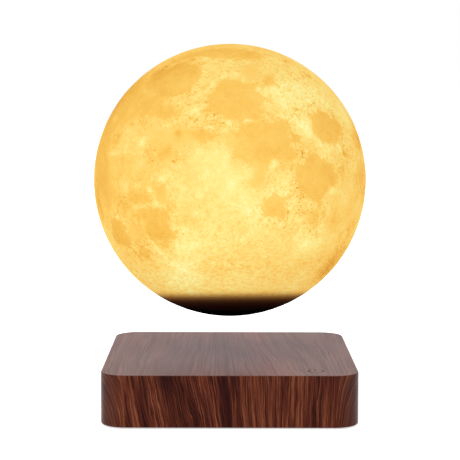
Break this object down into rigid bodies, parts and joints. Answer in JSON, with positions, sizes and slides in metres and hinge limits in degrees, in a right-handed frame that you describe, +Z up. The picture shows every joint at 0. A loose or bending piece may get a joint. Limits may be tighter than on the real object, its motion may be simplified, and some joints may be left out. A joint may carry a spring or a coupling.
{
  "type": "levitating lamp",
  "caption": "Levitating table lamp: a hollow glowing moon globe that floats over and turns above a square wood-finished base with a touch switch.",
  "frame": {"origin": "on the table, under the middle of the square base", "axes": "+Z up along the axis on which the moon floats and turns, +X to the right seen from the front, -Y towards the front, where the touch mark is"},
  "size_m": [0.18, 0.18, 0.2395],
  "materials": {
    "walnut": "dark red-brown walnut, satin lacquer",
    "black_plastic": "moulded, fine texture",
    "cap_plastic": "moulded, matt",
    "chip_plastic": "epoxy package",
    "white_plastic": "moulded white",
    "frosted_plastic": "frosted",
    "moon_plastic": "printed layers, lit from inside",
    "led_phosphor": "phosphor, lit",
    "foot_rubber": "matt",
    "lead_rubber": "silicone sheath",
    "screw_steel": "zinc plated",
    "plate_steel": "zinc plated sheet",
    "nickel_plate": "nickel plated",
    "capacitor_can": "drawn can",
    "led_board_plate": "white solder resist",
    "ferrite": "sintered, matt",
    "copper_wire": "enamelled copper",
    "copper_pad": "bare copper",
    "circuit_board": "green solder resist on glass fibre"
  },
  "bodies": {
    "base": {"base_housing": "walnut", "bottom_cover": "black_plastic", "cover_screw_1": "screw_steel", "cover_screw_2": "screw_steel", "cover_screw_3": "screw_steel", "cover_screw_4": "screw_steel", "foot_1": "foot_rubber", "foot_2": "foot_rubber", "foot_3": "foot_rubber", "foot_4": "foot_rubber", "main_board": "circuit_board", "board_screw_1": "screw_steel", "board_screw_2": "screw_steel", "board_screw_3": "screw_steel", "board_screw_4": "screw_steel", "driver_chip_1": "chip_plastic", "driver_chip_2": "chip_plastic", "controller_chip": "chip_plastic", "power_inductor": "ferrite", "smoothing_capacitor": "capacitor_can", "ring_magnet": "ferrite", "coil_bobbin_1": "black_plastic", "coil_bobbin_2": "black_plastic", "coil_bobbin_3": "black_plastic", "coil_bobbin_4": "black_plastic", "coil_winding_1": "copper_wire", "coil_winding_2": "copper_wire", "coil_winding_3": "copper_wire", "coil_winding_4": "copper_wire", "hall_post": "black_plastic", "hall_board": "circuit_board", "hall_sensor_x": "chip_plastic", "hall_sensor_y": "chip_plastic", "hall_sensor_z": "chip_plastic", "coil_carrier": "black_plastic", "transmitter_coil": "copper_wire", "socket_body": "black_plastic", "socket_pin": "nickel_plate", "touch_pad": "copper_pad", "touch_spring": "nickel_plate"},
    "float_core": {"levitation_magnet": "nickel_plate", "magnet_back_plate": "plate_steel"},
    "moon": {"moon_shade": "moon_plastic", "bottom_cap": "cap_plastic", "receiver_coil": "copper_wire", "receiver_deck": "white_plastic", "deck_screw_1": "screw_steel", "deck_screw_2": "screw_steel", "deck_screw_3": "screw_steel", "receiver_board": "circuit_board", "rectifier_chip": "chip_plastic", "storage_capacitor": "capacitor_can", "light_post": "white_plastic", "led_board": "led_board_plate", "led_1": "led_phosphor", "led_2": "led_phosphor", "led_3": "led_phosphor", "led_4": "led_phosphor", "led_diffuser": "frosted_plastic", "led_lead": "lead_rubber"}
  },
  "joints": [
    {"name": "moon_lift", "type": "slide", "parent": "base", "child": "float_core", "axis": [0, 0, 1], "range_m": [-0.025, 0.1], "stiffness_N_per_m": 74, "springref_m": 0.0502},
    {"name": "moon_spin", "type": "hinge", "parent": "float_core", "child": "moon", "pos_m": [0, 0, 0.1495], "axis": [0, 0, 1], "continuous": true}
  ]
}
